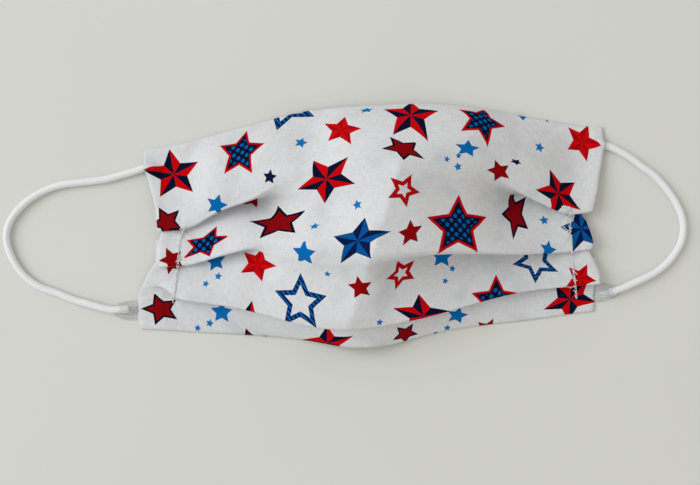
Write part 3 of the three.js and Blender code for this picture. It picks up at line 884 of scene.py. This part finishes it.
# Each face of the cloth is told which star it may carry, and its corners their place on it:
# in parts of the star's radius, with the tip upwards.
just_past_tip = 1.06
off_any_star = 9.0
kind_steps = 16
corner_count = len(mask_cloth.data.loops)
corner_vertex = np.empty(corner_count, int)
mask_cloth.data.loops.foreach_get("vertex_index", corner_vertex)
corner_i = corner_vertex % stations
corner_j = rows_down - 1 - corner_vertex // stations
corner_point = cloth[corner_i, corner_j]
face_point = corner_point.reshape(-1, 4, 3).mean(1)
face_out = cloth_facing[corner_i, corner_j].reshape(-1, 4, 3).mean(1)
face_across = cloth_across[corner_i].reshape(-1, 4).mean(1)
face_down = cloth_down[corner_j].reshape(-1, 4).mean(1)
nearest = np.full(len(face_across), just_past_tip)
face_kind = np.zeros(len(face_across))
corner_place = np.full((corner_count, 2), off_any_star)
for kind, spot, centre, tip_way, next_way, reach in stars:
    radius = max(np.linalg.norm(tip_way), np.linalg.norm(next_way))
    to_place = np.linalg.pinv(np.column_stack([tip_way, next_way]))

    def place_on_star(points):
        share = (points - centre) @ to_place.T
        up = share[:, 0] + share[:, 1] * math.cos(fifth)
        return np.column_stack([share[:, 1] * math.sin(fifth), up])

    off = np.linalg.norm(place_on_star(face_point), axis=1)
    mine = (off < nearest) & (face_out @ spot.out > -0.1)
    mine &= abs(face_across - spot.across) < reach * radius
    mine &= abs(face_down - spot.down) < reach * radius
    nearest[mine] = off[mine]
    face_kind[mine] = star_kinds.index(kind)
    corners = np.repeat(mine, 4)
    corner_place[corners] = place_on_star(corner_point[corners])
for old in list(mask_cloth.data.uv_layers):
    mask_cloth.data.uv_layers.remove(old)
cloth_map = mask_cloth.data.uv_layers.new(name="cloth_map")
on_cloth = np.column_stack([cloth_across[corner_i], -own_down[corner_i, corner_j]])
cloth_map.data.foreach_set("uv", on_cloth.ravel() / 1000)
star_map = mask_cloth.data.uv_layers.new(name="star_map")
star_map.data.foreach_set("uv", corner_place.ravel())
star_kind = mask_cloth.data.attributes.new("star_kind", "FLOAT", "FACE")
star_kind.data.foreach_set("value", face_kind / kind_steps)

wall = mask_cloth.modifiers.new("two layers", "SOLIDIFY")
wall.thickness = cloth_thickness
wall.offset = 0
wall.use_rim = True
bpy.context.view_layer.objects.active = mask_cloth
bpy.ops.object.modifier_apply(modifier=wall.name)
mask_cloth.data.shade_smooth()

# The turned edge is thicker, as its seam allowance lies inside, and rounded. Both bends of a
# pleat are thinner, so that the wall doesn't cut through itself inside them.
rim_fullness = 0.45
rim_width = 4.5
bend_squeeze = 0.42
both_sides = np.empty(len(mask_cloth.data.vertices) * 3)
mask_cloth.data.vertices.foreach_get("co", both_sides)
both_sides = both_sides.reshape(2, -1, 3)
edge_across = np.minimum(cloth_across, cloth_across[::-1])
edge_down = np.minimum(cloth_down, cloth_down[-1] - cloth_down)
to_edge = np.minimum(edge_across[None, :], edge_down[::-1, None]).reshape(-1, 1)
fullness = 1 + rim_fullness * np.exp(-((to_edge / rim_width) ** 4))
fullness *= 0.5 + 0.5 * eased(to_edge, -0.4, 1.3)
squeezed = np.zeros(rows_down)
for fold_start, fold_end in zip(fold_rows[1::2], fold_rows[2::2]):
    for bend_middle in (fold_start + bend_steps / 2, fold_end - bend_steps / 2):
        reach = (row_number - bend_middle) / (bend_steps * 0.9)
        squeezed = np.maximum(squeezed, np.exp(-(reach**4)))
fullness *= 1 - bend_squeeze * np.repeat(squeezed[::-1], stations)[:, None]
middle = both_sides.mean(0)
half = (both_sides[0] - both_sides[1]) / 2
middle[:, 2:] += np.maximum(fullness - 1, 0) * cloth_thickness / 2
mask_cloth.data.vertices.foreach_set(
    "co", np.stack([middle + half * fullness, middle - half * fullness]).ravel()
)
mask_cloth.data.update()


def new_group(name, inputs, outputs):
    """A node group with the given sockets, and its input and output nodes."""
    made = bpy.data.node_groups.new(name, "ShaderNodeTree")
    for socket, kind in inputs:
        made.interface.new_socket(socket, in_out="INPUT", socket_type=kind)
    for socket, kind in outputs:
        made.interface.new_socket(socket, in_out="OUTPUT", socket_type=kind)
    start = node(made, "NodeGroupInput", (-1200, 0))
    end = node(made, "NodeGroupOutput", (900, 0))
    return made, start, end


# How far out a star's inner corners are, in parts of its radius.
star_waist = 0.49


def five_pointed_star():
    """Distance in from a star's outline, and which side of a tip."""
    made, start, end = new_group(
        "five_pointed_star",
        [("Place", "NodeSocketVector")],
        [("Edge", "NodeSocketFloat"), ("Side", "NodeSocketFloat")],
    )
    parts = node(made, "ShaderNodeSeparateXYZ", (-1000, 0))
    join(made, start, "Place", parts, "Vector")
    x, y = parts.outputs["X"], parts.outputs["Y"]
    angle = maths(made, "ARCTAN2", (-800, 100), x, y)
    whole = maths(made, "ROUND", (-600, 100), maths(made, "DIVIDE", (-700, 100), angle, fifth))
    nearest_tip = maths(made, "MULTIPLY", (-500, 100), whole, fifth)
    within = maths(made, "SUBTRACT", (-400, 100), angle, nearest_tip)
    far = maths(made, "SQRT", (-600, -150), maths(
        made, "ADD", (-700, -150),
        maths(made, "MULTIPLY", (-800, -100), x, x), maths(made, "MULTIPLY", (-800, -200), y, y),
    ))
    out = maths(made, "MULTIPLY", (-200, 0), far, maths(made, "COSINE", (-300, 0), within))
    aside = maths(made, "ABSOLUTE", (-100, -150), maths(
        made, "MULTIPLY", (-200, -150), far, maths(made, "SINE", (-300, -150), within),
    ))
    run_x, run_y = star_waist * math.sin(fifth / 2), star_waist * math.cos(fifth / 2) - 1
    run = math.hypot(run_x, run_y)
    edge = maths(
        made, "SUBTRACT", (300, 0),
        maths(made, "MULTIPLY", (200, 50), maths(made, "SUBTRACT", (100, 50), 1.0, out), run_x / run),
        maths(made, "MULTIPLY", (200, -100), aside, -run_y / run),
    )
    side = maths(made, "GREATER_THAN", (100, 250), within, 0.0)
    made.links.new(edge, end.inputs["Edge"])
    made.links.new(side, end.inputs["Side"])
    return made


def ink(red, green, blue):
    """A colour as a screen shows it, as light."""
    def light(value):
        value /= 255
        return value / 12.92 if value < 0.04045 else ((value + 0.055) / 1.055) ** 2.4

    return light(red), light(green), light(blue), 1.0


# Each kind's ink to the right and left of a tip, its line, and, in parts of its radius, how
# wide the line and a ring are, with 0.5 for dots and 1 for hatching.
star_inks = {
    "none": (ink(255, 255, 255), ink(255, 255, 255), ink(255, 255, 255), (0, 1, 0, 1)),
    "halved": (ink(206, 0, 8), ink(4, 14, 44), ink(4, 14, 44), (0, 1, 0, 1)),
    "dotted": (ink(4, 14, 42), ink(4, 14, 42), ink(200, 2, 14), (0.08, 1, 0.5, 1)),
    "hatched": (ink(150, 0, 8), ink(150, 0, 8), ink(8, 8, 30), (0.105, 1, 0.85, 1)),
    "red_facets": (ink(212, 2, 8), ink(176, 0, 8), ink(130, 0, 8), (0.0, 1, 0, 1)),
    "blue_facets": (ink(0, 84, 158), ink(4, 26, 74), ink(4, 14, 44), (0.02, 1, 0, 1)),
    "dashed_ring": (ink(0, 92, 172), ink(0, 92, 172), ink(4, 20, 60), (0.025, 0.17, 1, 1)),
    "red_ring": (ink(186, 2, 14), ink(186, 2, 14), ink(150, 0, 12), (0.02, 0.23, 0, 1)),
    "small_dark_red": (ink(146, 0, 8), ink(146, 0, 8), ink(128, 0, 8), (0.05, 1, 0, 1)),
    "small_blue": (ink(0, 112, 188), ink(0, 112, 188), ink(0, 98, 176), (0.04, 1, 0, 1)),
    "small_navy": (ink(8, 20, 60), ink(8, 20, 60), ink(8, 20, 60), (0, 1, 0, 1)),
    "tiny_blue": (ink(14, 122, 192), ink(14, 122, 192), ink(14, 122, 192), (0, 1, 0, 1)),
}
cotton_white = (0.84, 0.84, 0.86, 1.0)
cotton_shade = (0.62, 0.635, 0.67, 1.0)
cotton_gap = (0.54, 0.55, 0.58, 1.0)
dot_blue = ink(0, 96, 178)
dots_per_metre = 265
dot_radius = 0.23
dashes_per_radius = 4.8
thread_pitch = 0.00042


def plain_weave():
    """Over-and-under threads at a given pitch, as a height and as light and dark threads."""
    made, start, end = new_group(
        "plain_weave",
        [("Place", "NodeSocketVector"), ("Pitch", "NodeSocketFloat")],
        [("Height", "NodeSocketFloat"), ("Slub", "NodeSocketFloat")],
    )
    wander = node(made, "ShaderNodeTexNoise", (-1000, -250))
    set_inputs(wander, Scale=160, Detail=2)
    join(made, start, "Place", wander, "Vector")
    parts = node(made, "ShaderNodeSeparateXYZ", (-1000, 0))
    join(made, start, "Place", parts, "Vector")
    rate = maths(made, "DIVIDE", (-900, 200), 2 * math.pi, start.outputs["Pitch"])
    drift = maths(made, "MULTIPLY", (-800, -250), wander.outputs["Fac"], 5.0)
    warp = maths(made, "SINE", (-500, 80), maths(
        made, "ADD", (-600, 80), maths(made, "MULTIPLY", (-700, 80), parts.outputs["X"], rate), drift,
    ))
    weft = maths(made, "SINE", (-500, -80), maths(
        made, "ADD", (-600, -80), maths(made, "MULTIPLY", (-700, -80), parts.outputs["Y"], rate), drift,
    ))
    cross = maths(made, "MULTIPLY", (-300, 0), warp, weft)
    slubs = []
    for n, stretch in enumerate(((260, 2900, 1), (2900, 260, 1))):
        stretched = node(made, "ShaderNodeMapping", (-1000, -500 - 300 * n))
        set_inputs(stretched, Scale=stretch)
        join(made, start, "Place", stretched, "Vector")
        slub = node(made, "ShaderNodeTexNoise", (-800, -500 - 300 * n))
        set_inputs(slub, Scale=1, Detail=1)
        join(made, stretched, "Vector", slub, "Vector")
        slubs.append(slub.outputs["Fac"])
    both = maths(made, "MULTIPLY", (-600, -500), *slubs)
    height = maths(made, "ADD", (0, 0), maths(made, "MULTIPLY", (-100, 0), cross, 0.5), 0.5)
    made.links.new(height, end.inputs["Height"])
    made.links.new(both, end.inputs["Slub"])
    return made


weave_group = plain_weave()
star_group = five_pointed_star()


def kind_ramp(tree, place, kind, column):
    """A ramp that gives one column of the ink table for a star's kind."""
    ramp = node(tree, "ShaderNodeValToRGB", place)
    ramp.color_ramp.interpolation = "CONSTANT"
    ramp.color_ramp.elements[1].position = 0.99
    for k, name in enumerate(star_kinds):
        start = k / kind_steps - 0.03
        here = ramp.color_ramp.elements[0] if k == 0 else ramp.color_ramp.elements.new(start)
        here.color = star_inks[name][column]
    tree.links.new(kind, ramp.inputs["Fac"])
    return ramp.outputs["Color"]


def printed_cotton():
    made, tree, shader = new_material("printed_cotton")
    fabric = node(tree, "ShaderNodeUVMap", (-1600, -400), uv_map="cloth_map")
    spot = node(tree, "ShaderNodeUVMap", (-1600, 200), uv_map="star_map")
    kind = node(tree, "ShaderNodeAttribute", (-1600, 500), attribute_name="star_kind").outputs["Fac"]
    star = node(tree, "ShaderNodeGroup", (-1300, 200), node_tree=star_group)
    join(tree, spot, "UV", star, "Place")
    weave = node(tree, "ShaderNodeGroup", (-1300, -400), node_tree=weave_group)
    set_inputs(weave, Pitch=thread_pitch)
    join(tree, fabric, "UV", weave, "Place")
    right_ink = kind_ramp(tree, (-1300, 1200), kind, 0)
    left_ink = kind_ramp(tree, (-1300, 950), kind, 1)
    line_ink = kind_ramp(tree, (-1300, 700), kind, 2)
    style = node(tree, "ShaderNodeSeparateColor", (-1000, 500))
    tree.links.new(kind_ramp(tree, (-1300, 450), kind, 3), style.inputs["Color"])
    line_width, ring_width, texture = (style.outputs[n] for n in ("Red", "Green", "Blue"))

    # The inks wander a little at the edge of each thread.
    edge = maths(tree, "ADD", (-1000, 150), star.outputs["Edge"], maths(
        tree, "MULTIPLY", (-1100, 50),
        maths(tree, "SUBTRACT", (-1150, 0), weave.outputs["Height"], 0.5), 0.012,
    ))
    body = mix_colours(tree, (-800, 900), star.outputs["Side"], left_ink, right_ink)

    # Staggered dots on the cloth's own measure, and slanting dashes in parts of a star's radius.
    dots = []
    for n, shift in enumerate((0.0, 0.5)):
        shifted = node(tree, "ShaderNodeMapping", (-1300, -700 - 300 * n))
        set_inputs(shifted, Scale=(dots_per_metre,) * 3, Location=(shift, shift, 0))
        join(tree, fabric, "UV", shifted, "Vector")
        cell = node(tree, "ShaderNodeVectorMath", (-1100, -700 - 300 * n), operation="FRACTION")
        join(tree, shifted, "Vector", cell, 0)
        off = node(tree, "ShaderNodeVectorMath", (-900, -700 - 300 * n), operation="DISTANCE")
        join(tree, cell, "Vector", off, 0)
        off.inputs[1].default_value = (0.5, 0.5, 0)
        centre_off = off.outputs["Value"]
        dots.append(maths(tree, "LESS_THAN", (-700, -700 - 300 * n), centre_off, dot_radius))
    dotted = maths(tree, "MAXIMUM", (-500, -800), *dots)
    is_dotted = maths(
        tree, "MULTIPLY", (-600, -500), maths(tree, "COMPARE", (-700, -500), texture, 0.5, 0.2),
        maths(tree, "GREATER_THAN", (-700, -600), edge, 0.13),
    )
    blue_dot = maths(tree, "MULTIPLY", (-400, -700), dotted, is_dotted)
    body = mix_colours(tree, (-400, 900), blue_dot, body, dot_blue)
    place = node(tree, "ShaderNodeSeparateXYZ", (-1300, -1300))
    join(tree, spot, "UV", place, "Vector")
    diagonal = maths(tree, "ADD", (-1100, -1300), place.outputs["X"], place.outputs["Y"])
    slant = maths(tree, "MULTIPLY", (-1000, -1300), diagonal, dashes_per_radius)
    dash = maths(tree, "GREATER_THAN", (-800, -1300), maths(tree, "FRACT", (-900, -1300), slant), 0.55)
    boldness = maths(tree, "MULTIPLY", (-600, -1100), maths(
        tree, "SUBTRACT", (-700, -1100), texture, 0.8), 5.0)
    dashed = maths(tree, "MULTIPLY", (-500, -1200), dash, maths(
        tree, "MAXIMUM", (-500, -1100), boldness, 0.0))
    body = mix_colours(tree, (-200, 900), dashed, body, line_ink)
    lined = maths(tree, "LESS_THAN", (-400, 300), edge, line_width)
    colour = mix_colours(tree, (0, 800), lined, body, line_ink)
    inside = maths(tree, "GREATER_THAN", (-400, 150), edge, 0.0)
    in_ring = maths(tree, "LESS_THAN", (-400, 0), edge, ring_width)
    printed = maths(tree, "MULTIPLY", (-200, 100), inside, in_ring)
    speckle = maths(tree, "MULTIPLY", (-100, -50), weave.outputs["Height"], 0.006)
    amount = maths(tree, "MULTIPLY", (0, 100), printed, maths(tree, "SUBTRACT", (0, 0), 1.0, speckle))
    grain = maths(tree, "MULTIPLY_ADD", (-300, -300), weave.outputs["Slub"], 1.6, -0.26)
    threads = mix_colours(tree, (-200, -300), grain, cotton_white, cotton_gap)
    # The print of the layer behind shows through, very faintly.
    behind = node(tree, "ShaderNodeTexNoise", (-900, -300))
    set_inputs(behind, Scale=75, Detail=2)
    join(tree, fabric, "UV", behind, "Vector")
    patch = node(tree, "ShaderNodeMapRange", (-700, -300))
    set_inputs(patch, From_Min=0.52, From_Max=0.75, To_Max=0.55)
    join(tree, behind, "Fac", patch, "Value")
    threads = mix_colours(tree, (0, -300), patch.outputs["Result"], threads, cotton_shade)
    final = mix_colours(tree, (250, 400), amount, threads, colour)
    tree.links.new(final, shader.inputs["Base Color"])
    bump(tree, shader, (250, -200), weave.outputs["Height"], 0.8, 0.00016)
    set_inputs(shader, Roughness=0.95, Specular_IOR_Level=0.02)
    return made


mask_cloth.data.materials.append(printed_cotton())
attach(mask_cloth, "root")
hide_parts("pleated_body")


# The clear tabs: a strip of thin clear tape folded over the free end of each elastic and stuck
# to itself, creased into fins, with its other end at the cloth's edge.
tape_grey = (0.52, 0.52, 0.55, 1.0)
tape_light = (0.90, 0.90, 0.92, 1.0)
tape_ridge = 3.9
cloth_rise = 0.3
# Rows from the upper to the lower side: the outer end and the end at the cloth, in pixels of
# the photograph.
left_tab_rows = (
    ((130, 300.4), (138.0, 300.0)), ((117, 303.4), (138.0, 302.5)), ((120, 306.0), (138.1, 305.5)),
    ((122.5, 309.0), (138.2, 309.5)), ((119, 311.5), (138.3, 313)), ((114.5, 314.5), (138.5, 316)),
    ((121, 319.0), (138.9, 318.8)), ((129, 320.4), (139.3, 320.4)),
)
right_tab_rows = (
    ((601, 283.2), (595.2, 284)), ((609, 283.8), (595.0, 286)), ((616.5, 286.2), (594.8, 288)),
    ((609, 290.0), (594.7, 291)), ((611, 293), (594.6, 294)), ((620.3, 294.3), (594.6, 296.5)),
    ((612, 299), (594.7, 299)), ((602, 302.3), (594.8, 302.0)),
)


def clear_tape():
    made, tree, shader = new_material("clear_tape")
    spot = node(tree, "ShaderNodeUVMap", (-1200, 0), uv_map="tape_map")
    stretched = node(tree, "ShaderNodeMapping", (-1000, 0))
    set_inputs(stretched, Scale=(1.3, 11.0, 1.0))
    join(tree, spot, "UV", stretched, "Vector")
    streak = node(tree, "ShaderNodeTexNoise", (-800, 0))
    set_inputs(streak, Scale=1.0, Detail=4, Distortion=0.6)
    join(tree, stretched, "Vector", streak, "Vector")
    cover = node(tree, "ShaderNodeMapRange", (-500, -100))
    set_inputs(cover, From_Min=0.40, From_Max=0.66, To_Min=0.22, To_Max=0.72)
    join(tree, streak, "Fac", cover, "Value")
    tint = mix_colours(tree, (-300, 200), streak.outputs["Fac"], tape_grey, tape_light)
    tree.links.new(tint, shader.inputs["Base Color"])
    join(tree, cover, "Result", shader, "Alpha")
    bump(tree, shader, (-300, -250), streak.outputs["Fac"], 0.7, 0.0004)
    set_inputs(shader, Roughness=0.22, IOR=1.47)
    return made


tape_finish = clear_tape()


def clear_tab(name, rows, line):
    """A creased strip of tape over a cord's end: its upper skin, turned under to its lower one."""
    steps, cross = 26, 44
    stops = np.linspace(0, len(rows) - 1, cross)
    count = np.arange(len(rows))
    outer = np.array([on_table(*row[0]) for row in rows])
    inner = np.array([on_table(*row[1]) for row in rows])
    tip = line[-1] * 1000
    back = line[-8] * 1000
    way = (tip - back) / np.linalg.norm(tip - back)
    upper, lower, place = [], [], []
    for stop in stops:
        far = np.array([np.interp(stop, count, outer[:, k]) for k in (0, 1)])
        close = np.array([np.interp(stop, count, inner[:, k]) for k in (0, 1)])
        for s in np.linspace(0, 1, steps):
            spot = far + (close - far) * s
            off = spot - tip[:2]
            beyond = off @ way[:2]
            beside = off @ np.array((-way[1], way[0]))
            ridge = tape_ridge * math.exp(-((max(beyond, 0) / 3.2) ** 2))
            ridge *= math.exp(-((beside / (1.5 + 0.10 * max(beyond, 0))) ** 4) * 0.7)
            turn = math.atan2(beside, beyond + 4)
            fan = noise.noise((turn * 5.0, s * 0.8, tip[0]))
            edge = math.sin(math.pi * min(max(stop / (len(rows) - 1), 0.0), 1.0)) ** 0.5
            crease = (0.35 + 0.9 * abs(fan)) * edge * math.sin(math.pi * min(s + 0.15, 1) * 0.9)
            height = 0.25 + max(ridge, crease) + cloth_rise * s**3
            upper.append((*spot, height))
            lower.append((*spot, 0.04 if height < 0.6 else 0.04 + 0.05 * (height - 0.6)))
            place.append((s * 0.9, stop / (len(rows) - 1)))
    points = np.array(upper + lower) / 1000
    total = len(upper)
    faces = []
    for a in range(cross - 1):
        for b in range(steps - 1):
            k = a * steps + b
            quad = (k, k + 1, k + steps + 1, k + steps)
            faces.append(quad)
            faces.append(tuple(total + n for n in reversed(quad)))
    rim = [a * steps for a in range(cross)]
    rim += [(cross - 1) * steps + b for b in range(1, steps)]
    rim += [a * steps + steps - 1 for a in reversed(range(cross - 1))]
    rim += [b for b in reversed(range(1, steps - 1))]
    for one, two in zip(rim, rim[1:] + rim[:1]):
        faces.append((one, two, total + two, total + one))
    piece = mesh_piece(name, points, faces)
    bpy.ops.object.select_all(action="DESELECT")
    piece.select_set(True)
    bpy.context.view_layer.objects.active = piece
    bpy.ops.object.mode_set(mode="EDIT")
    bpy.ops.mesh.select_all(action="SELECT")
    bpy.ops.mesh.normals_make_consistent(inside=False)
    bpy.ops.object.mode_set(mode="OBJECT")
    tape_map = piece.data.uv_layers.new(name="tape_map")
    for loop_corner in piece.data.loops:
        tape_map.data[loop_corner.index].uv = place[loop_corner.vertex_index % total]
    piece.data.materials.append(tape_finish)
    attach(piece, "root")
    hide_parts(name.replace("tape", "clear"))
    return piece


left_tab = clear_tab("tape_tab_left", left_tab_rows, left_loop[1])
right_tab = clear_tab("tape_tab_right", right_tab_rows, right_loop[1])


# The tacking thread: white sewing thread in one line of short stitches down each side, across
# the pleats only, sewn over twice and knotted in messy back-stitches at its turns.
thread_radius = 0.16
lowest_thread = 0.3
ply_turn = 0.0006
stitch_length = 2.1
thread_white = (0.90, 0.90, 0.92, 1.0)
# The groove colour is painted shade between the thread's two plies.
thread_groove_shade = (0.60, 0.60, 0.62, 1.0)
left_tack_line = (
    (183.5, 226), (184, 231), (180.5, 240), (179, 250), (178.5, 262), (177, 272),
    (176, 284), (174.5, 294), (173, 303),
)
right_tack_line = (
    (568, 206), (571, 216), (569.5, 226), (570, 238), (572, 255), (573, 270), (575, 285), (576, 299),
)
# Extra stitches at the back-tacks, each from one pixel of the photograph to another.
loose_stitches = (
    ((561, 206), (567, 211)), ((563, 211), (571, 209)), ((566, 216), (572, 213)),
    ((562, 226), (568, 232)), ((565, 233), (572, 228)), ((567, 238), (571, 231)),
    ((572, 270), (577, 275)), ((572, 278), (577, 281)), ((573, 290), (577, 294)),
    ((180, 228), (186, 233)), ((179, 235), (184, 229)), ((174, 268), (180, 273)),
    ((172, 300), (178, 297)), ((176, 262), (181, 259)),
)


def stitch(start, end, crown):
    """The line of one stitch on the cloth, from pixel to pixel, coming up and going down."""
    spots = []
    for t in np.linspace(0, 1, 7):
        spot = ClothSpot(start[0] + (end[0] - start[0]) * t, start[1] + (end[1] - start[1]) * t)
        level = cloth_thickness * 500 + 0.1 + crown * math.sin(math.pi * t)
        place = spot.point + spot.out * (level + 0.1 * (0 < t < 1))
        place[2] = max(place[2], lowest_thread)
        spots.append(place)
    return np.array(spots) / 1000


thread_stitches = []
for line_number, row in enumerate((left_tack_line, right_tack_line)):
    way = even_curve([(x * pixel, y * pixel, 0.0) for x, y in row], stitch_length) / pixel
    for k in range(len(way) - 1):
        for pass_number, aside in enumerate((-0.8, 0.9)):
            swing = 1.1 * noise.noise((k * 0.9, line_number * 5.0, pass_number * 3.0 + 0.5))
            start = (way[k][0] + aside + swing, way[k][1] + 0.4)
            end = (way[k + 1][0] + aside * (0.4 - 0.8 * (k % 2)) - swing, way[k + 1][1] - 0.4)
            thread_stitches.append(stitch(start, end, 0.14))
for start, end in loose_stitches:
    thread_stitches.append(stitch(start, end, 0.22))

thread_points, thread_faces, thread_places = [], [], []
for line in thread_stitches:
    tube = round_cord("stitch", line, thread_radius / 1000, 7)
    base = len(thread_points)
    thread_points += [tuple(v.co) for v in tube.data.vertices]
    thread_faces += [tuple(base + n for n in face.vertices) for face in tube.data.polygons]
    thread_places += [tuple(corner.uv) for corner in tube.data.uv_layers["cord_map"].data]
    bpy.data.meshes.remove(tube.data)
tacking = mesh_piece("tacking_thread", thread_points, thread_faces)
thread_map = tacking.data.uv_layers.new(name="cord_map")
thread_map.data.foreach_set("uv", np.array(thread_places).ravel())

# Two plies twisted together, with painted shade in the groove between them.
thread_finish, tree, shader = new_material("sewing_thread")
thread_spot = node(tree, "ShaderNodeUVMap", (-1200, 0), uv_map="cord_map")
thread_parts = node(tree, "ShaderNodeSeparateXYZ", (-1000, 0))
join(tree, thread_spot, "UV", thread_parts, "Vector")
twist = maths(tree, "ADD", (-600, 0), maths(
    tree, "DIVIDE", (-800, -100), thread_parts.outputs["Y"], ply_turn), thread_parts.outputs["X"])
ply = maths(tree, "ABSOLUTE", (-300, 0), maths(
    tree, "SINE", (-400, 0), maths(tree, "MULTIPLY", (-500, 0), twist, 2 * math.pi)))
thread_tint = mix_colours(tree, (-100, 150), ply, thread_groove_shade, thread_white)
tree.links.new(thread_tint, shader.inputs["Base Color"])
bump(tree, shader, (-100, -150), ply, 0.5, 0.00005)
set_inputs(shader, Roughness=0.55, Specular_IOR_Level=0.4)
tacking.data.materials.append(thread_finish)
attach(tacking, "root")
